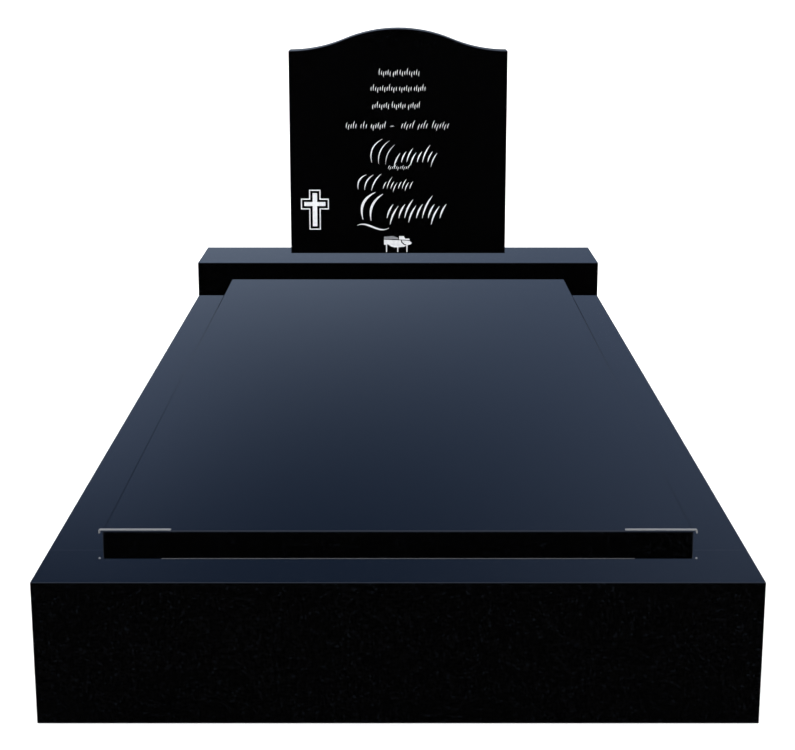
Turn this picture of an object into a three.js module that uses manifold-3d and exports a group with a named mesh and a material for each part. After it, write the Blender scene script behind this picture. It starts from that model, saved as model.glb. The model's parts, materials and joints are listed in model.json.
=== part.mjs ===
// Kerbed grave memorial in polished black granite: a serpentine-topped headstone on a low
// base, at the head end of a kerb surround that carries a flat ledger.
// Millimetres, +Z up. The origin is the bottom centre of the surround, its foot end is at -Y,
// and the headstone faces that way.
import * as THREE from "three";
import { RoundedBoxGeometry } from "three/addons/geometries/RoundedBoxGeometry.js";
import { mergeVertices } from "three/addons/utils/BufferGeometryUtils.js";
import Module from "manifold-3d";

const wasm = await Module();
wasm.setup();

// Kerb surround
const SURROUND_WIDTH = 914;
const SURROUND_LENGTH = 2080;
const KERB_HEIGHT = 189;
const KERB_THICKNESS = 120;

// Ledger
const LEDGER_WIDTH = 760;
const LEDGER_THICKNESS = 38;
const LEDGER_FRONT_MARGIN = 86;
const LEDGER_BACK_GAP = 3;

// Base and headstone
const BASE_DEPTH = 217;
const BASE_HEIGHT = 76;
const STONE_WIDTH = 503;
const STONE_THICKNESS = 88;
const SHOULDER_HEIGHT = 469;
const CROWN_HEIGHT = 519;

// Edges and joints
const ARRIS = 1; // radius of a polished edge
const LEDGER_ARRIS = 2;
const ARRIS_STEPS = 2;
const BED = 0.3; // between a stone and what it lies on
const BUTT = 0.3; // between two kerbs that meet

// Metal trim and pointing at the ledger's front edge
const TRIM_LENGTH = 93;
const TRIM_DEPTH = 5;
const TRIM_THICKNESS = 1;
const TRIM_OVERHANG = 5; // past the ledger's side
const TRIM_TURNDOWN = 5;
const TRIM_LEG = 2;
const STUD_RADIUS = 1.5;
const STUD_HEIGHT = 2.2;
const STUD_CLEARANCE = 3.1; // from the ledger's side
const BEAD_LENGTH = 610;
const BEAD_DEPTH = 0.8;
const BEAD_HEIGHT = 1;

// Sunk work on the headstone's face. Places are across the stone from its centre line, and
// up from its foot.
const SUNK_DEPTH = 1.5;

const CROSS = {
  x: -194.5, // centre line of the stem
  armHeight: 116.5, // middle of the arms
  above: 25.5, // from there to the top
  below: 52.5, // and to the bottom
  span: 49.6,
  stem: 10.8,
  arm: 9.5,
  gap: 5.3, // bare stone between the cross and its border
  border: 2.7,
};

// Rows of pen strokes: the foot line of the row, the height of its low strokes, their width
// and pitch, how far they lean in degrees, and each word's two ends
const ROWS = [
  { foot: 414, height: 10, width: 1.9, pitch: 5.2, lean: 5, words: [[-44, -16], [-11, 0], [4, 50]] },
  { foot: 378, height: 10, width: 1.9, pitch: 5.2, lean: 5, words: [[-63, -2], [3, 32], [37, 64]] },
  { foot: 339, height: 10, width: 1.9, pitch: 5.2, lean: 5, words: [[-59, -20], [-14, 18], [24, 51]] },
  { foot: 292, height: 11, width: 1.9, pitch: 5.4, lean: 10, words: [[-121, -95], [-87, -71], [-63, -28]] },
  { foot: 292, height: 12, width: 1.9, pitch: 6, lean: 18, words: [[7, 38], [46, 70], [78, 119]] },
  { foot: 214, height: 25, width: 3.3, pitch: 11.6, lean: 24, words: [[-6, 94]] },
  { foot: 198, height: 7, width: 1.7, pitch: 4.6, lean: 24, words: [[-24, 27]] },
  { foot: 152, height: 17, width: 2.4, pitch: 8.4, lean: 24, words: [[-36, 36]] },
  { foot: 83, height: 33, width: 4.2, pitch: 13.4, lean: 24, words: [[-28, 115]] },
];
// How far each stroke of a word rises above the foot line and drops below it, in row heights
const RISES = [1.6, 1, 0.86, 1, 1.32, 0.92, 1];
const DROPS = [0, 0, 0.45, 0, 0, 0.3, 0];
const PHASE_STEP = 2; // the next word starts this many strokes further on
const STROKE_BOW = 0.07; // of its length

const DASH = { from: [-18.5, 297.5], to: [-8.5, 297.5], width: 1.8 };

// Long bowed strokes that open the three large rows, and a swash under the last one. Each
// bows to the left of its way from foot to head, and the swash turns to the right after that.
const OPENERS = [
  { from: [-61, 213], to: [-36, 268], bow: 12, width: 3 },
  { from: [-45, 210], to: [-20, 264], bow: 9, width: 2.7 },
  { from: [-29, 209], to: [-7, 255], bow: 6, width: 2.4 },
  { from: [-93, 151], to: [-74, 185], bow: 8, width: 3.4 },
  { from: [-78, 149], to: [-57, 185], bow: 6, width: 3.2 },
  { from: [-62, 148], to: [-39, 187], bow: 4, width: 3.2 },
  { from: [-82, 80], to: [-53, 144], bow: 15, width: 6 },
  { from: [-63, 77], to: [-35, 140], bow: 12, width: 5.6 },
];
const SWASH = { from: [-96, 66], to: [-21, 60], bow: 11, endBow: -13, width: 4.4 };

// Small picture of a grand piano near the foot, in four areas with bare stone between them
const PICTURE = {
  keyboardEnd: -33,
  keyboardFoot: 20,
  bellyFrom: [-23, 21],
  bellyLow: [-13, 11.5],
  bellyTo: [3, 14.5],
  caseTail: [[15, 15.5], [20, 18], [13.5, 20.5], [7.5, 25.5], [7.5, 31]],
  caseTop: 32.5,
  tail: [[9.5, 31], [9.5, 26.5], [15, 22], [22, 19], [29, 21], [33, 24.5], [27, 29.5]],
  fall: [[-33, 34.2], [1, 33], [1, 36.5], [-12, 41], [-33, 39.5]],
  lid: [[2.5, 32.6], [17, 31.8], [28, 31], [26, 35.2], [17, 34.5], [13.5, 40.7], [2.5, 40.7]],
  legs: [-27, -0.5, 21],
  legWidth: 3.2,
  legFootWidth: 2.2,
  legFoot: 2.5,
  legHead: 20.5,
  shortLegHead: 15.5,
};

const granite = new THREE.MeshStandardMaterial({ color: 0x07080a, roughness: 0.1, metalness: 0 });
const aluminium = new THREE.MeshStandardMaterial({ color: 0x8b8a88, roughness: 0.5, metalness: 1 });
const pointing = new THREE.MeshStandardMaterial({ color: 0x4a4b4d, roughness: 0.8, metalness: 0 });

const FRONT = -SURROUND_LENGTH / 2;
const BACK = SURROUND_LENGTH / 2;
const SIDE = SURROUND_WIDTH / 2;
const BED_LEVEL = KERB_HEIGHT + BED;
const LEDGER_TOP = BED_LEVEL + LEDGER_THICKNESS;
const LEDGER_FRONT = FRONT + LEDGER_FRONT_MARGIN;
const BASE_FRONT = BACK - BASE_DEPTH;
const BASE_TOP = KERB_HEIGHT + BASE_HEIGHT;

// A closed solid with merged corners, for cutting
function solidOf(geometry) {
  const bare = geometry.clone();
  bare.deleteAttribute("normal");
  bare.deleteAttribute("uv");
  const merged = mergeVertices(bare, 1e-4);
  const mesh = new wasm.Mesh({
    numProp: 3,
    vertProperties: merged.attributes.position.array,
    triVerts: new Uint32Array(merged.index.array),
  });
  return new wasm.Manifold(mesh);
}

function geometryOf(solid) {
  const mesh = solid.getMesh();
  const geometry = new THREE.BufferGeometry();
  geometry.setAttribute("position", new THREE.BufferAttribute(mesh.vertProperties, 3));
  geometry.setIndex(new THREE.BufferAttribute(mesh.triVerts, 1));
  geometry.computeVertexNormals();
  return geometry;
}

function piece(name, geometry, material, x, y, z) {
  const mesh = new THREE.Mesh(geometry, material);
  mesh.name = name;
  mesh.position.set(x, y, z);
  return mesh;
}

// A kerb is its section drawn along its length. The outer face is at section x = 0, and the
// outer top edge is rounded.
function kerbGeometry(length) {
  const section = new THREE.Shape();
  section.moveTo(0, 0);
  section.lineTo(KERB_THICKNESS, 0);
  section.lineTo(KERB_THICKNESS, KERB_HEIGHT);
  section.absarc(ARRIS, KERB_HEIGHT - ARRIS, ARRIS, Math.PI / 2, Math.PI, false);
  return new THREE.ExtrudeGeometry(section, {
    depth: length,
    curveSegments: ARRIS_STEPS,
    bevelEnabled: false,
  });
}

// The foot kerb spans the full width, the long kerbs butt against it, and the head kerb
// closes the gap between them at the back.
function kerbSurround() {
  const quarter = Math.PI / 2;
  const longLength = SURROUND_LENGTH - KERB_THICKNESS - BUTT;
  const headLength = SURROUND_WIDTH - 2 * (KERB_THICKNESS + BUTT);

  const foot = piece("foot_kerb", kerbGeometry(SURROUND_WIDTH), granite, -SIDE, FRONT, 0);
  foot.rotation.set(quarter, quarter, 0);

  const left = piece("left_kerb", kerbGeometry(longLength), granite, -SIDE, BACK, 0);
  left.rotation.set(quarter, 0, 0);

  const right = piece("right_kerb", kerbGeometry(longLength), granite, SIDE, BACK - longLength, 0);
  right.rotation.set(quarter, Math.PI, 0);

  const head = piece("head_kerb", kerbGeometry(headLength), granite, headLength / 2, BACK, 0);
  head.rotation.set(quarter, -quarter, 0);

  const group = new THREE.Group();
  group.add(foot, left, right, head);
  return group;
}

// A flat slab with rounded edges all round
function slab(name, width, depth, height, arris, centreY, foot) {
  const geometry = new RoundedBoxGeometry(width, depth, height, ARRIS_STEPS, arris);
  return piece(name, geometry, granite, 0, centreY, foot + height / 2);
}

function ledger() {
  const length = BASE_FRONT - LEDGER_BACK_GAP - LEDGER_FRONT;
  const y = LEDGER_FRONT + length / 2;
  return slab("ledger", LEDGER_WIDTH, length, LEDGER_THICKNESS, LEDGER_ARRIS, y, BED_LEVEL);
}

function headstoneBase() {
  const height = BASE_HEIGHT - BED;
  const y = BACK - BASE_DEPTH / 2;
  return slab("headstone_base", SURROUND_WIDTH, BASE_DEPTH, height, ARRIS, y, BED_LEVEL);
}

// The stone's outline. Its top is a serpentine: from each shoulder a hollow arc and then half
// of the crown's arc, all of one radius, level at the shoulders and at the middle.
function stoneOutline() {
  const half = STONE_WIDTH / 2;
  const shoulder = SHOULDER_HEIGHT - BED;
  const crown = CROWN_HEIGHT - BED;
  const rise = crown - shoulder;
  const radius = (half * half + rise * rise) / (4 * rise);
  const sweep = Math.asin(half / 2 / radius);
  const up = Math.PI / 2;

  const outline = new THREE.Shape();
  outline.moveTo(-half, 0);
  outline.lineTo(half, 0);
  outline.absarc(half, shoulder + radius, radius, -up, -up - sweep, true);
  outline.absarc(0, crown - radius, radius, up - sweep, up + sweep, false);
  outline.absarc(-half, shoulder + radius, radius, -up + sweep, -up, true);
  return outline;
}

// A pen stroke: a ribbon along a curve, full width in the middle and narrow at both ends
function penStroke(curve, width, steps) {
  const TIP = 0.22;
  const left = [];
  const right = [];
  for (let i = 0; i <= steps; i++) {
    const t = i / steps;
    const point = curve.getPoint(t);
    const along = curve.getTangent(t);
    const across = new THREE.Vector2(-along.y, along.x);
    const half = (width / 2) * (TIP + (1 - TIP) * Math.sin(Math.PI * t));
    left.push(point.clone().addScaledVector(across, half));
    right.unshift(point.clone().addScaledVector(across, -half));
  }
  return new THREE.Shape([...right, ...left]);
}

// A curve from one place to another that bows to its left, by one distance on the first half
// of its way and by another on the second
function bowed(from, to, bow, endBow = bow) {
  const start = new THREE.Vector2(...from);
  const end = new THREE.Vector2(...to);
  const across = end.clone().sub(start).normalize().rotateAround(new THREE.Vector2(), Math.PI / 2);
  const REACH = 4 / 3; // a Bezier curve stays this much inside its control points
  const first = start.clone().lerp(end, 1 / 3).addScaledVector(across, REACH * bow);
  const second = start.clone().lerp(end, 2 / 3).addScaledVector(across, REACH * endBow);
  return new THREE.CubicBezierCurve(start, first, second, end);
}

// One word: evenly spaced leaning strokes whose tops and feet vary by RISES and DROPS
function wordStrokes(row, [from, to], phase) {
  const slope = Math.tan(THREE.MathUtils.degToRad(row.lean));
  const room = to - from - row.width - slope * row.height;
  const count = Math.max(2, Math.round(room / row.pitch) + 1);
  const shapes = [];
  for (let i = 0; i < count; i++) {
    const turn = (phase + i) % RISES.length;
    const x = from + row.width / 2 + (room * i) / (count - 1);
    const rise = row.height * RISES[turn];
    const drop = row.height * DROPS[turn];
    const foot = [x - slope * drop, row.foot - drop];
    const head = [x + slope * rise, row.foot + rise];
    shapes.push(penStroke(bowed(foot, head, STROKE_BOW * (rise + drop)), row.width, 4));
  }
  return shapes;
}

function inscription() {
  const shapes = [];
  let phase = 0;
  for (const row of ROWS) {
    for (const word of row.words) {
      shapes.push(...wordStrokes(row, word, phase));
      phase += PHASE_STEP;
    }
  }
  shapes.push(penStroke(bowed(DASH.from, DASH.to, 0), DASH.width, 2));
  for (const { from, to, bow, width } of OPENERS) {
    shapes.push(penStroke(bowed(from, to, bow), width, 12));
  }
  shapes.push(penStroke(bowed(SWASH.from, SWASH.to, SWASH.bow, SWASH.endBow), SWASH.width, 16));
  return shapes;
}

// The corners of a Latin cross, grown all round by the given distance
function crossPoints(grow) {
  const { x, armHeight, above, below, span, stem, arm } = CROSS;
  const halfStem = stem / 2 + grow;
  const halfSpan = span / 2 + grow;
  const halfArm = arm / 2 + grow;
  const corners = [
    [halfStem, -below - grow],
    [halfStem, -halfArm],
    [halfSpan, -halfArm],
    [halfSpan, halfArm],
    [halfStem, halfArm],
    [halfStem, above + grow],
  ];
  const mirrored = corners.map(([dx, dz]) => [-dx, dz]).reverse();
  return [...corners, ...mirrored].map(([dx, dz]) => new THREE.Vector2(x + dx, armHeight + dz));
}

// A solid cross inside a border of even width
function crossShapes() {
  const border = new THREE.Shape(crossPoints(CROSS.gap + CROSS.border));
  border.holes.push(new THREE.Path(crossPoints(CROSS.gap)));
  return [border, new THREE.Shape(crossPoints(0))];
}

function outlineOf(points) {
  return new THREE.Shape(points.map(([x, z]) => new THREE.Vector2(x, z)));
}

// A grand piano in plain outline: keyboard end to the left, lid raised at the right
function pictureShapes() {
  const p = PICTURE;
  const body = new THREE.Shape();
  body.moveTo(p.keyboardEnd, p.keyboardFoot);
  body.lineTo(...p.bellyFrom);
  body.quadraticCurveTo(...p.bellyLow, ...p.bellyTo);
  for (const corner of p.caseTail) {
    body.lineTo(...corner);
  }
  body.lineTo(p.keyboardEnd, p.caseTop);
  const legs = p.legs.map((x, place) => {
    const head = place === 1 ? p.shortLegHead : p.legHead;
    return outlineOf([
      [x - p.legFootWidth / 2, p.legFoot],
      [x + p.legFootWidth / 2, p.legFoot],
      [x + p.legWidth / 2, head],
      [x - p.legWidth / 2, head],
    ]);
  });
  return [body, outlineOf(p.tail), outlineOf(p.fall), outlineOf(p.lid), ...legs];
}

// The headstone is drawn in its own frame, with its face towards local +Z, then stood up.
function headstone() {
  let solid = solidOf(
    new THREE.ExtrudeGeometry(stoneOutline(), {
      depth: STONE_THICKNESS - 2 * ARRIS,
      curveSegments: 8,
      bevelThickness: ARRIS,
      bevelSize: ARRIS,
      bevelOffset: -ARRIS,
      bevelSegments: ARRIS_STEPS,
    }),
  );
  const sunkFloor = STONE_THICKNESS - ARRIS - SUNK_DEPTH;
  for (const shape of [...inscription(), ...crossShapes(), ...pictureShapes()]) {
    const cutter = new THREE.ExtrudeGeometry(shape, {
      depth: 2 * SUNK_DEPTH,
      curveSegments: 5,
      bevelEnabled: false,
    });
    cutter.translate(0, 0, sunkFloor);
    solid = solid.subtract(solidOf(cutter));
  }
  const mesh = piece("headstone", geometryOf(solid), granite, 0, BACK - ARRIS, BASE_TOP + BED);
  mesh.rotation.x = Math.PI / 2;
  return mesh;
}

// A strip along the ledger's front top edge, its outer end turned down past the side.
// The section is drawn from the outer end, with its top at y = 0, and side is -1 or 1.
function cornerTrim(name, side) {
  const section = new THREE.Shape();
  section.moveTo(0, -TRIM_TURNDOWN);
  section.lineTo(TRIM_LEG, -TRIM_TURNDOWN);
  section.lineTo(TRIM_LEG, -TRIM_THICKNESS);
  section.lineTo(TRIM_LENGTH, -TRIM_THICKNESS);
  section.lineTo(TRIM_LENGTH, 0);
  section.absarc(TRIM_LEG, -TRIM_LEG, TRIM_LEG, Math.PI / 2, Math.PI, false);
  const geometry = new THREE.ExtrudeGeometry(section, {
    depth: TRIM_DEPTH,
    curveSegments: 3,
    bevelEnabled: false,
  });
  const outer = side * (LEDGER_WIDTH / 2 + TRIM_OVERHANG);
  const level = LEDGER_TOP + BED + TRIM_THICKNESS;
  const y = side < 0 ? LEDGER_FRONT + TRIM_DEPTH : LEDGER_FRONT;
  const mesh = piece(name, geometry, aluminium, outer, y, level);
  mesh.rotation.set(Math.PI / 2, side < 0 ? 0 : Math.PI, 0);
  return mesh;
}

// A small domed stud on the foot kerb, beside the ledger's bottom corner and in line with its
// front face
function ledgerStud(name, side) {
  const shank = STUD_HEIGHT - STUD_RADIUS;
  const profile = [new THREE.Vector2(0, 0), new THREE.Vector2(STUD_RADIUS, 0)];
  const DOME_STEPS = 4;
  for (let i = 0; i <= DOME_STEPS; i++) {
    const angle = ((Math.PI / 2) * i) / DOME_STEPS;
    const x = i === DOME_STEPS ? 0 : STUD_RADIUS * Math.cos(angle);
    profile.push(new THREE.Vector2(x, shank + STUD_RADIUS * Math.sin(angle)));
  }
  const x = side * (LEDGER_WIDTH / 2 + STUD_CLEARANCE + STUD_RADIUS);
  const dome = new THREE.LatheGeometry(profile, 12);
  const mesh = piece(name, dome, aluminium, x, LEDGER_FRONT, BED_LEVEL);
  mesh.rotation.x = Math.PI / 2;
  return mesh;
}

// The line of pointing along the joint under the ledger's front edge
function frontJointBead() {
  const geometry = new RoundedBoxGeometry(BEAD_LENGTH, BEAD_DEPTH, BEAD_HEIGHT, 1, BEAD_DEPTH / 4);
  const y = LEDGER_FRONT - BED - BEAD_DEPTH / 2;
  return piece("front_joint_bead", geometry, pointing, 0, y, BED_LEVEL + BEAD_HEIGHT / 2);
}

const memorial = new THREE.Group();
memorial.add(
  kerbSurround(),
  ledger(),
  headstoneBase(),
  headstone(),
  cornerTrim("corner_trim_left", -1),
  cornerTrim("corner_trim_right", 1),
  ledgerStud("ledger_stud_left", -1),
  ledgerStud("ledger_stud_right", 1),
  frontJointBead(),
);

export default memorial;
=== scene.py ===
# Kerbed grave memorial in polished black granite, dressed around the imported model.
# Metres, in the model's own frame: +Z up, the foot end at -Y, the headstone facing that way.
import json
import math

import bmesh
import bpy
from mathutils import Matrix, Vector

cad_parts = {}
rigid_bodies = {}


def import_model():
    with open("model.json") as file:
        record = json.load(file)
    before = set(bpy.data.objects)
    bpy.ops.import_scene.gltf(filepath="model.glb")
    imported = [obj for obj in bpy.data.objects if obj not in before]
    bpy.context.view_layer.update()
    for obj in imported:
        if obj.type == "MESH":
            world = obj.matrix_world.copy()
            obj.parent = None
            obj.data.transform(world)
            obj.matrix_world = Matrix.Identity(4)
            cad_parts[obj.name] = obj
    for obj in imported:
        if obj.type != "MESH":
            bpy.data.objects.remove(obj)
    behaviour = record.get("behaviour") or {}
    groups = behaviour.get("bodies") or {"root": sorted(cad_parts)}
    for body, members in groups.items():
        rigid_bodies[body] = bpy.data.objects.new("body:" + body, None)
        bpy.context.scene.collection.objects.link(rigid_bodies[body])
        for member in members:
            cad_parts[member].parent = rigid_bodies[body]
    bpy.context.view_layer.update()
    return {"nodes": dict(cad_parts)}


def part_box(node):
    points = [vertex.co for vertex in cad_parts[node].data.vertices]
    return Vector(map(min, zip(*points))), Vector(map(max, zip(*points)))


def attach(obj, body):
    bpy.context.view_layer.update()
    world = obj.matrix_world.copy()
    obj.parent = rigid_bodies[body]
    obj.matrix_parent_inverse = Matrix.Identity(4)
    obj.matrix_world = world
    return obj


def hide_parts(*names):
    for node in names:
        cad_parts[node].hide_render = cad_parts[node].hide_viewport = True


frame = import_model()

MM = 0.001
X, Y, Z = 0, 1, 2
STONE_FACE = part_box("headstone")[0].y
STONE_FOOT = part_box("headstone")[0].z

# Stone edges and joints
ARRIS = 1.0 * MM  # radius that the polisher leaves on an edge
LEDGER_ARRIS = 2.0 * MM
ARRIS_SEGMENTS = 4
SMOOTH_BELOW = math.radians(40)
HEADSTONE_SMOOTH_BELOW = math.radians(15)  # its arris is a plain double chamfer
PLACE = 0.1 * MM  # two places closer than this are the same
FLATNESS = 0.01 * MM  # a face that stays this close to a plane is flat
MERGE_WITHIN = 0.01 * MM
STONE_PLANE = math.radians(0.5)  # faces that meet at less than this are joined into one
ENAMEL_PLANE = math.radians(1)
FRONT_FACING = -0.99  # a face whose normal has a Y below this looks towards -Y

# Enamel in the sunk work
ENAMEL_THICKNESS = 1.1 * MM
PICTURE_HALF_WIDTH = 34 * MM
PICTURE_TOP = 45 * MM
FALL_FOOT = 33 * MM  # the picture's grey area: the fall over the keys
FALL_RIGHT_EDGE = 1.5 * MM
CROSS_RIGHT_EDGE = -150 * MM


# Colours and nodes

def linear(hex_code):
    """An sRGB hex colour such as 0a0b0d as linear red, green, blue and a full alpha."""
    values = []
    for start in (0, 2, 4):
        part = int(hex_code[start:start + 2], 16) / 255
        values.append(part / 12.92 if part <= 0.04045 else ((part + 0.055) / 1.055) ** 2.4)
    return (*values, 1.0)


def add_node(tree, kind, settings=None, links=None):
    """Adds a node. Settings are its own fields or its inputs, and links feed its inputs."""
    node = tree.nodes.new(kind)
    for key, value in (settings or {}).items():
        if isinstance(key, str) and hasattr(node, key):
            setattr(node, key, value)
        else:
            node.inputs[key].default_value = value
    for key, source in (links or {}).items():
        tree.links.new(source, node.inputs[key])
    return node


def set_stops(ramp_node, stops, smooth="LINEAR"):
    """Places a colour ramp's stops from (position, hex colour) pairs."""
    ramp = ramp_node.color_ramp
    ramp.interpolation = smooth
    while len(ramp.elements) < len(stops):
        ramp.elements.new(0.5)
    for element, (position, hex_code) in zip(ramp.elements, stops):
        element.position = position
        element.color = linear(hex_code)


def new_material(name, base_hex, shader_settings):
    """A material with a Principled shader, and its tree, shader and object coordinates."""
    material = bpy.data.materials.new(name)
    material.use_nodes = True
    material.diffuse_color = linear(base_hex)
    tree = material.node_tree
    shader = tree.nodes["Principled BSDF"]
    shader.inputs["Base Color"].default_value = linear(base_hex)
    for key, value in shader_settings.items():
        shader.inputs[key].default_value = value
    places = add_node(tree, "ShaderNodeTexCoord").outputs["Object"]
    return material, tree, shader, places


# Materials

def polished_gabbro():
    """Black granite, a fine-grained gabbro, ground and buffed to a mirror: a near-black body
    with faint dark grey flecks of feldspar, and crisp deep reflections."""
    material, tree, shader, places = new_material(
        "polished_gabbro", "050506", {"IOR": 1.5, "Roughness": 0.05}
    )
    # crystals of 2.5 mm, a little coarser than the real ones so that they show
    crystals = add_node(tree, "ShaderNodeTexVoronoi", {"Scale": 400.0}, {"Vector": places})
    crystal_tone = add_node(
        tree, "ShaderNodeSeparateColor", links={"Color": crystals.outputs["Color"]}
    )
    tone = add_node(tree, "ShaderNodeValToRGB", links={"Fac": crystal_tone.outputs["Red"]})
    set_stops(tone, [(0.0, "010101"), (0.7, "020202"), (0.93, "040405"), (1.0, "090b0e")])
    # clouding of the stone over about 120 mm
    clouds = add_node(
        tree, "ShaderNodeTexNoise", {"Scale": 8.0, "Detail": 3.0}, {"Vector": places}
    )
    cloud_tone = add_node(
        tree, "ShaderNodeMapRange",
        {"From Min": 0.3, "From Max": 0.7, "To Min": 0.94, "To Max": 1.06},
        {"Value": clouds.outputs["Fac"]},
    )
    body = add_node(
        tree, "ShaderNodeVectorMath", {"operation": "SCALE"},
        {0: tone.outputs["Color"], "Scale": cloud_tone.outputs["Result"]},
    )
    tree.links.new(body.outputs["Vector"], shader.inputs["Base Color"])
    # softer crystals take the polish a little less
    gloss = add_node(
        tree, "ShaderNodeMapRange", {"To Min": 0.035, "To Max": 0.085},
        {"Value": crystal_tone.outputs["Green"]},
    )
    tree.links.new(gloss.outputs["Result"], shader.inputs["Roughness"])
    return material


def sawn_gabbro():
    """The same stone as it left the diamond saw: mid grey, matt, with shallow blade lines."""
    material, tree, shader, places = new_material(
        "sawn_gabbro", "4b4d50", {"IOR": 1.5, "Roughness": 0.75}
    )
    grains = add_node(
        tree, "ShaderNodeTexNoise", {"Scale": 500.0, "Detail": 4.0}, {"Vector": places}
    )
    tone = add_node(tree, "ShaderNodeValToRGB", links={"Fac": grains.outputs["Fac"]})
    set_stops(tone, [(0.3, "3c3e41"), (0.55, "4f5154"), (0.75, "686a6d")])
    tree.links.new(tone.outputs["Color"], shader.inputs["Base Color"])
    # blade lines every 12 mm
    lines = add_node(
        tree, "ShaderNodeTexWave", {"Scale": 26.5, "Distortion": 1.5, "Detail": 2.0},
        {"Vector": places},
    )
    relief = add_node(
        tree, "ShaderNodeMath", {"operation": "ADD"},
        {0: lines.outputs["Fac"], 1: grains.outputs["Fac"]},
    )
    bump = add_node(
        tree, "ShaderNodeBump", {"Strength": 0.35, "Distance": 0.3 * MM},
        {"Height": relief.outputs["Value"]},
    )
    tree.links.new(bump.outputs["Normal"], shader.inputs["Normal"])
    return material


def white_enamel():
    """Stoving enamel brushed into the sunk work and wiped level: clean white, low sheen, with
    a slightly uneven brushed skin."""
    material, tree, shader, places = new_material(
        "white_enamel", "dddfe2", {"IOR": 1.5, "Roughness": 0.4}
    )
    # brushing over about 6 mm
    brushing = add_node(
        tree, "ShaderNodeTexNoise", {"Scale": 160.0, "Detail": 3.0}, {"Vector": places}
    )
    tone = add_node(tree, "ShaderNodeValToRGB", links={"Fac": brushing.outputs["Fac"]})
    set_stops(tone, [(0.3, "d4d6d9"), (0.6, "e5e7e9")])
    tree.links.new(tone.outputs["Color"], shader.inputs["Base Color"])
    bump = add_node(
        tree, "ShaderNodeBump", {"Strength": 0.25, "Distance": 0.15 * MM},
        {"Height": brushing.outputs["Fac"]},
    )
    tree.links.new(bump.outputs["Normal"], shader.inputs["Normal"])
    return material


def grey_enamel():
    """The same enamel tinted grey, for the darker areas of the small picture."""
    material, tree, shader, places = new_material(
        "grey_enamel", "818387", {"IOR": 1.5, "Roughness": 0.4}
    )
    brushing = add_node(
        tree, "ShaderNodeTexNoise", {"Scale": 160.0, "Detail": 3.0}, {"Vector": places}
    )
    tone = add_node(tree, "ShaderNodeValToRGB", links={"Fac": brushing.outputs["Fac"]})
    set_stops(tone, [(0.3, "77797e"), (0.6, "8b8d91")])
    tree.links.new(tone.outputs["Color"], shader.inputs["Base Color"])
    return material


def dull_aluminium():
    """Mill-finish aluminium strip that has stood outdoors: grey metal under a thin dull oxide
    film that scatters light, with fine long drawing lines."""
    material, tree, shader, places = new_material(
        "dull_aluminium", "8b8a88", {"Metallic": 0.5, "IOR": 1.5, "Roughness": 0.55}
    )
    # drawing lines 0.4 mm apart and 40 mm long
    stretched = add_node(
        tree, "ShaderNodeMapping", {"Scale": (25.0, 2500.0, 2500.0)}, {"Vector": places}
    )
    lines = add_node(
        tree, "ShaderNodeTexNoise", {"Scale": 1.0, "Detail": 2.0},
        {"Vector": stretched.outputs["Vector"]},
    )
    tone = add_node(tree, "ShaderNodeValToRGB", links={"Fac": lines.outputs["Fac"]})
    set_stops(tone, [(0.3, "81807f"), (0.7, "959492")])
    tree.links.new(tone.outputs["Color"], shader.inputs["Base Color"])
    gloss = add_node(
        tree, "ShaderNodeMapRange", {"To Min": 0.45, "To Max": 0.65},
        {"Value": lines.outputs["Fac"]},
    )
    tree.links.new(gloss.outputs["Result"], shader.inputs["Roughness"])
    bump = add_node(
        tree, "ShaderNodeBump", {"Strength": 0.2, "Distance": 0.05 * MM},
        {"Height": lines.outputs["Fac"]},
    )
    tree.links.new(bump.outputs["Normal"], shader.inputs["Normal"])
    return material


def lime_pointing():
    """Struck mortar: matt mid grey with sand grains."""
    material, tree, shader, places = new_material(
        "lime_pointing", "4a4b4d", {"IOR": 1.5, "Roughness": 0.9}
    )
    # sand of 0.8 mm
    sand = add_node(
        tree, "ShaderNodeTexNoise", {"Scale": 1200.0, "Detail": 3.0}, {"Vector": places}
    )
    tone = add_node(tree, "ShaderNodeValToRGB", links={"Fac": sand.outputs["Fac"]})
    set_stops(tone, [(0.3, "3d3e40"), (0.7, "57585a")])
    tree.links.new(tone.outputs["Color"], shader.inputs["Base Color"])
    bump = add_node(
        tree, "ShaderNodeBump", {"Strength": 0.6, "Distance": 0.2 * MM},
        {"Height": sand.outputs["Fac"]},
    )
    tree.links.new(bump.outputs["Normal"], shader.inputs["Normal"])
    return material


POLISHED = polished_gabbro()
SAWN = sawn_gabbro()
WHITE = white_enamel()
GREY = grey_enamel()
ALUMINIUM = dull_aluminium()
POINTING = lime_pointing()


# Handwork

def rest_hands():
    """Object mode with nothing selected."""
    if bpy.context.object and bpy.context.object.mode != "OBJECT":
        bpy.ops.object.mode_set(mode="OBJECT")
    bpy.ops.object.select_all(action="DESELECT")


def take_up(piece):
    """Object mode with only this piece selected and active."""
    rest_hands()
    piece.select_set(True)
    bpy.context.view_layer.objects.active = piece


def choose(piece, kind, wanted):
    """In edit mode, selects the faces or edges of the piece that wanted() picks."""
    if piece.mode != "EDIT":
        take_up(piece)
        bpy.ops.object.mode_set(mode="EDIT")
    bpy.ops.mesh.select_mode(type=kind)
    bpy.ops.mesh.select_all(action="DESELECT")
    mesh = bmesh.from_edit_mesh(piece.data)
    for part in mesh.edges if kind == "EDGE" else mesh.faces:
        part.select_set(bool(wanted(part)))
    mesh.select_flush_mode()
    bmesh.update_edit_mesh(piece.data)


def is_flat(face):
    """True for a face that lies in a plane square to one of the axes."""
    for axis in (X, Y, Z):
        places = [vert.co[axis] for vert in face.verts]
        if max(places) - min(places) < FLATNESS:
            return True
    return False


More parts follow.
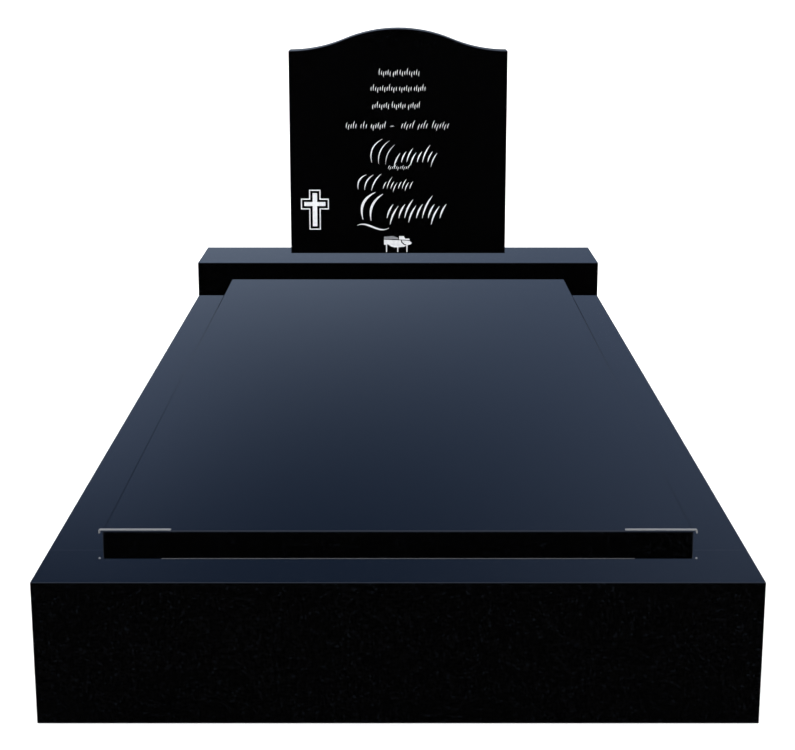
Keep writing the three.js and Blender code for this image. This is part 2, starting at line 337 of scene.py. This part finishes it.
def finish_faces(piece, smooth_below=SMOOTH_BELOW):
    """Shades curves smooth, and keeps flat faces flat up to their edges."""
    take_up(piece)
    bpy.ops.object.shade_smooth_by_angle(angle=smooth_below)
    choose(piece, "EDGE", lambda edge: sum(is_flat(face) for face in edge.link_faces) == 1)
    bpy.ops.mesh.mark_sharp()
    choose(piece, "FACE", is_flat)
    bpy.ops.mesh.faces_shade_flat()
    rest_hands()


def sawn_block(node):
    """A block of stone the size of a CAD node, with every face polished for now."""
    low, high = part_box(node)
    rest_hands()
    bpy.ops.mesh.primitive_cube_add(size=1, location=(low + high) / 2)
    block = bpy.context.object
    block.name = node + "_stone"
    block.data.name = block.name
    block.scale = high - low
    bpy.ops.object.transform_apply(location=True, rotation=True, scale=True)
    block.data.materials.append(POLISHED)
    block.data.materials.append(SAWN)
    return block


def near(a, b):
    return abs(a - b) < PLACE


def ends_on(edge, axis, value):
    """True if the whole edge lies on the plane where that axis has that value."""
    return all(near(vert.co[axis], value) for vert in edge.verts)


def ease(piece, planes, arris):
    """Rounds the edges where two of the named planes meet. A plane is (axis, value)."""
    def between_planes(edge):
        return sum(ends_on(edge, axis, value) for axis, value in planes) >= 2
    choose(piece, "EDGE", between_planes)
    bpy.ops.mesh.bevel(
        offset=arris, segments=ARRIS_SEGMENTS, profile=0.5, affect="EDGES", clamp_overlap=False
    )
    rest_hands()


def leave_sawn(piece, planes):
    """Gives the flat faces on the named planes the sawn finish."""
    def on_plane(face):
        return any(
            all(near(vert.co[axis], value) for vert in face.verts) for axis, value in planes
        )
    choose(piece, "FACE", on_plane)
    piece.active_material_index = 1
    bpy.ops.object.material_slot_assign()
    rest_hands()


def kerb(node, polished_planes, sawn_planes):
    stone = sawn_block(node)
    ease(stone, polished_planes, ARRIS)
    leave_sawn(stone, sawn_planes)
    finish_faces(stone)
    return stone


def kerb_surround():
    """Four kerbs. Their outer faces and tops are polished and eased, and the faces towards
    the grave, the undersides and the butted ends stay sawn."""
    stones = []
    for node, outer in (("foot_kerb", -1), ("head_kerb", 1)):
        low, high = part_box(node)
        front, back = (low.y, high.y) if outer < 0 else (high.y, low.y)
        planes = [(Y, front), (Z, high.z)]
        sawn = [(Y, back), (Z, low.z)]
        if node == "foot_kerb":
            planes += [(X, low.x), (X, high.x)]
        else:
            sawn += [(X, low.x), (X, high.x)]
        stones.append((node, kerb(node, planes, sawn)))
    for node, side in (("left_kerb", -1), ("right_kerb", 1)):
        low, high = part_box(node)
        outside, inside = (low.x, high.x) if side < 0 else (high.x, low.x)
        planes = [(X, outside), (Z, high.z), (Y, high.y)]
        sawn = [(X, inside), (Z, low.z), (Y, low.y)]
        stones.append((node, kerb(node, planes, sawn)))
    return stones


def slab(node, arris):
    """A slab polished and eased all round, on a sawn bed."""
    low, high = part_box(node)
    planes = [(X, low.x), (X, high.x), (Y, low.y), (Y, high.y), (Z, high.z)]
    stone = sawn_block(node)
    ease(stone, planes, arris)
    leave_sawn(stone, [(Z, low.z)])
    finish_faces(stone)
    return stone


def copy_of_node(node, name):
    """A copy of a CAD node with its own mesh, its loose triangles joined up."""
    rest_hands()
    source = frame["nodes"][node]
    copy = bpy.data.objects.new(name, source.data.copy())
    copy.data.name = name
    bpy.context.scene.collection.objects.link(copy)
    copy.data.materials.clear()
    choose(copy, "FACE", lambda face: True)
    bpy.ops.mesh.remove_doubles(threshold=MERGE_WITHIN)
    rest_hands()
    return copy


def headstone():
    """The headstone keeps the sunk work of its CAD node and gets smooth curved edges."""
    stone = copy_of_node("headstone", "headstone_stone")
    stone.data.materials.append(POLISHED)
    stone.data.materials.append(SAWN)
    choose(stone, "FACE", lambda face: True)
    bpy.ops.mesh.dissolve_limited(angle_limit=STONE_PLANE)
    rest_hands()
    leave_sawn(stone, [(Z, STONE_FOOT)])
    finish_faces(stone, HEADSTONE_SMOOTH_BELOW)
    return stone


def sunk_enamel(name, in_this_part):
    """Enamel on the floors of the sunk work that in_this_part() picks by their middle."""
    enamel = copy_of_node("headstone", name)

    def is_not_floor(face):
        middle = face.calc_center_median()
        sunk = face.normal.y < FRONT_FACING and middle.y > STONE_FACE + PLACE
        return not (sunk and in_this_part(middle))
    choose(enamel, "FACE", is_not_floor)
    bpy.ops.mesh.delete(type="FACE")
    bpy.ops.mesh.select_all(action="SELECT")
    bpy.ops.mesh.dissolve_limited(angle_limit=ENAMEL_PLANE)
    rest_hands()
    take_up(enamel)
    skin = enamel.modifiers.new("skin", "SOLIDIFY")
    skin.thickness = ENAMEL_THICKNESS
    skin.offset = 1
    bpy.ops.object.modifier_apply(modifier=skin.name)
    enamel.data.materials.append(WHITE)
    return enamel


def in_cross(middle):
    return middle.x < CROSS_RIGHT_EDGE


def in_picture(middle):
    return abs(middle.x) < PICTURE_HALF_WIDTH and middle.z < STONE_FOOT + PICTURE_TOP


def in_inscription(middle):
    return not in_cross(middle) and not in_picture(middle)


def tint_fall(picture):
    """Paints the fall over the keys grey."""
    picture.data.materials.append(GREY)
    choose(picture, "FACE", lambda face: all(
        vert.co.z > STONE_FOOT + FALL_FOOT - PLACE and vert.co.x < FALL_RIGHT_EDGE
        for vert in face.verts
    ))
    picture.active_material_index = 1
    bpy.ops.object.material_slot_assign()
    rest_hands()


def dress(piece, node):
    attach(piece, "root")
    if node:
        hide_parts(node)


for node, stone in kerb_surround():
    dress(stone, node)
for node, arris in (("headstone_base", ARRIS), ("ledger", LEDGER_ARRIS)):
    dress(slab(node, arris), node)
dress(headstone(), "headstone")
cross = sunk_enamel("enamel_cross", in_cross)
picture = sunk_enamel("enamel_picture", in_picture)
tint_fall(picture)
inscription = sunk_enamel("enamel_inscription", in_inscription)
for enamel in (cross, picture, inscription):
    dress(enamel, None)

# The metal trim and the pointing are right as they are and get their finish
for node, finish in (
    ("corner_trim_left", ALUMINIUM),
    ("corner_trim_right", ALUMINIUM),
    ("ledger_stud_left", ALUMINIUM),
    ("ledger_stud_right", ALUMINIUM),
    ("front_joint_bead", POINTING),
):
    fitting = frame["nodes"][node]
    if not fitting.material_slots:
        fitting.data.materials.append(finish)
    for slot in fitting.material_slots:
        slot.material = finish

# Polished stone shows the studio's sky in its tops, not its neighbours
for piece in bpy.context.scene.objects:
    if piece.type == "MESH":
        piece.visible_glossy = False


# Floor

FLOOR_SIZE = 300.0


def pale_floor():
    """A plain floor of matt white paint."""
    material = new_material("pale_floor_paint", "f9f9f9", {"Roughness": 0.9, "IOR": 1.5})[0]
    rest_hands()
    bpy.ops.mesh.primitive_plane_add(size=FLOOR_SIZE, location=(0, 0, 0))
    floor = bpy.context.object
    floor.name = "floor"
    floor.data.materials.append(material)
    floor.visible_glossy = False


pale_floor()


# Studio light

AMBIENT = 2.0  # plain white light from all round on matt surfaces

# What polish mirrors above the horizon: a deep slate sky towards +Y, with a glow that dies
# away upwards and soft round panels, a brighter sky on the other sides, and a dim bank in front
# of it all close to the horizon. A panel has its height and its turn to the right of +Y in
# degrees, how tightly it is focused, its strength and its colour.
SKY = (0.102, "499dff")
HORIZON_GLOW = (0.274, "fafff1")
HORIZON_DEPTH = 0.085  # sine of the height over which the glow dies away
BANK_FOOT = 0.04  # sine of the height up to which the bank is full, and of its top
BANK_TOP = 0.15
BANK_DIMS_TO = 0.27
PANELS = [
    (1.0, -5.0, 65, 0.559, "d9e8ff"),
    (14.5, -11.7, 245, 0.185, "c4d8ff"),
    (14.4, 15.3, 55, 0.227, "cbddff"),
    (90.0, 0.0, 3.05, 0.324, "fff6ea"),
]
BRIGHT_SKY = (1.0, "adc1e6")
BRIGHT_FROM = 0.9  # cosine of the angle from +Y at which it begins, and at which it is full
BRIGHT_FULL = 0.55

# What it mirrors below the horizon: a sheen deep down, less of it towards -Y, and a glimmer
# close to the horizon on the left and the right
FLOOR_SHEEN = (0.35, "c8d0e0")
SHEEN_FROM = 0.12  # sine of the depth below the horizon at which it begins, and is full
SHEEN_FULL = 0.42
SIDE_SHEEN = (0.35, "adc1e6")
SIDES_FROM = 0.92  # cosine of the angle from +Y or -Y at which it begins, and is full
SIDES_FULL = 0.8
SIDE_DEEP = 0.15  # sine of the depth down to which it is full, and at which it ends
SIDE_END = 0.3


def scaled(strength, hex_code):
    return tuple(strength * part for part in linear(hex_code)[:3])


def times(tree, amount, colour):
    """A colour, plain or from a socket, scaled by a number socket."""
    settings = {"operation": "SCALE"}
    links = {"Scale": amount}
    given = settings if isinstance(colour, tuple) else links
    given[0] = colour
    return add_node(tree, "ShaderNodeVectorMath", settings, links).outputs["Vector"]


def sums(tree, colours):
    total = colours[0]
    for colour in colours[1:]:
        total = add_node(
            tree, "ShaderNodeVectorMath", {"operation": "ADD"}, {0: total, 1: colour}
        ).outputs["Vector"]
    return total


def number(tree, operation, *parts):
    """A Math node. Each part is a number or the socket that gives it."""
    settings = {"operation": operation}
    links = {}
    for place, part in enumerate(parts):
        if isinstance(part, (int, float)):
            settings[place] = part
        else:
            links[place] = part
    return add_node(tree, "ShaderNodeMath", settings, links).outputs["Value"]


def dying_away(tree, height, depth):
    """1 at the horizon, and a factor e less for each depth above it."""
    return number(tree, "EXPONENT", number(tree, "DIVIDE", height, -depth))


def eased(tree, value, start, end, first, last):
    """Goes softly from first to last while the value goes from start to end."""
    return add_node(
        tree, "ShaderNodeMapRange",
        {"interpolation_type": "SMOOTHSTEP", "From Min": start, "From Max": end,
         "To Min": first, "To Max": last},
        {"Value": value},
    ).outputs["Result"]


def panel_light(tree, direction, panel):
    height, turn, focus, strength, hex_code = panel
    up, across = math.radians(height), math.radians(turn)
    axis = (
        math.sin(across) * math.cos(up), math.cos(across) * math.cos(up), math.sin(up)
    )
    facing = add_node(
        tree, "ShaderNodeVectorMath", {"operation": "DOT_PRODUCT", 1: axis}, {0: direction}
    ).outputs["Value"]
    amount = number(tree, "POWER", number(tree, "MAXIMUM", facing, 0.0), focus)
    return times(tree, amount, scaled(strength, hex_code))


def studio():
    """White all round for the camera and for matt surfaces, and the dark slate sky for what
    polish mirrors."""
    world = bpy.data.worlds.new("studio")
    bpy.context.scene.world = world
    world.use_nodes = True
    world.cycles.sampling_method = "NONE"
    tree = world.node_tree
    tree.nodes.clear()
    direction = add_node(tree, "ShaderNodeTexCoord").outputs["Generated"]
    parts = add_node(tree, "ShaderNodeSeparateXYZ", links={"Vector": direction})
    height = parts.outputs["Z"]
    ahead = parts.outputs["Y"]

    sky = sums(tree, [
        times(tree, dying_away(tree, height, HORIZON_DEPTH), scaled(*HORIZON_GLOW)),
        times(tree, eased(tree, ahead, BRIGHT_FULL, BRIGHT_FROM, 1.0, 0.0), scaled(*BRIGHT_SKY)),
        *[panel_light(tree, direction, panel) for panel in PANELS],
    ])
    sky = add_node(
        tree, "ShaderNodeVectorMath", {"operation": "ADD", 1: scaled(*SKY)}, {0: sky}
    ).outputs["Vector"]

    to_the_foot = number(tree, "MAXIMUM", number(tree, "MULTIPLY", ahead, -1.0), 0.0)
    sheen_amount = number(
        tree, "MULTIPLY",
        number(tree, "POWER", number(tree, "SUBTRACT", 1.0, to_the_foot), 2.0),
        eased(tree, height, -SHEEN_FULL, -SHEEN_FROM, 1.0, 0.0),
    )
    side_amount = number(
        tree, "MULTIPLY",
        eased(tree, number(tree, "ABSOLUTE", ahead), SIDES_FULL, SIDES_FROM, 1.0, 0.0),
        eased(tree, height, -SIDE_END, -SIDE_DEEP, 0.0, 1.0),
    )
    sheen = sums(tree, [
        times(tree, sheen_amount, scaled(*FLOOR_SHEEN)),
        times(tree, side_amount, scaled(*SIDE_SHEEN)),
    ])

    sky = times(tree, eased(tree, height, BANK_FOOT, BANK_TOP, BANK_DIMS_TO, 1.0), sky)
    above = number(tree, "GREATER_THAN", height, 0.0)
    below = number(tree, "SUBTRACT", 1.0, above)
    polish_colour = sums(tree, [times(tree, above, sky), times(tree, below, sheen)])
    polish_sees = add_node(tree, "ShaderNodeBackground", links={"Color": polish_colour})
    matt_sees = add_node(
        tree, "ShaderNodeBackground", {"Color": linear("ffffff"), "Strength": AMBIENT}
    )
    ray = add_node(tree, "ShaderNodeLightPath")
    mixed = add_node(tree, "ShaderNodeMixShader", links={
        0: ray.outputs["Is Glossy Ray"],
        1: matt_sees.outputs["Background"],
        2: polish_sees.outputs["Background"],
    })
    add_node(tree, "ShaderNodeOutputWorld", links={"Surface": mixed.outputs["Shader"]})


studio()
bpy.context.scene.view_settings.view_transform = "Standard"


# Camera

CAMERA_PLACE = (0.0, -3.0527, 0.9429)
CAMERA_TILT = math.radians(76.346)
CAMERA_LENS = 77.88
CAMERA_SHIFT = -0.00067

camera_data = bpy.data.cameras.new("camera")
camera_data.sensor_width = 36
camera_data.lens = CAMERA_LENS
camera_data.shift_x = CAMERA_SHIFT
camera = bpy.data.objects.new("camera", camera_data)
camera.location = CAMERA_PLACE
camera.rotation_euler = (CAMERA_TILT, 0, 0)
bpy.context.scene.collection.objects.link(camera)
bpy.context.scene.camera = camera

rest_hands()
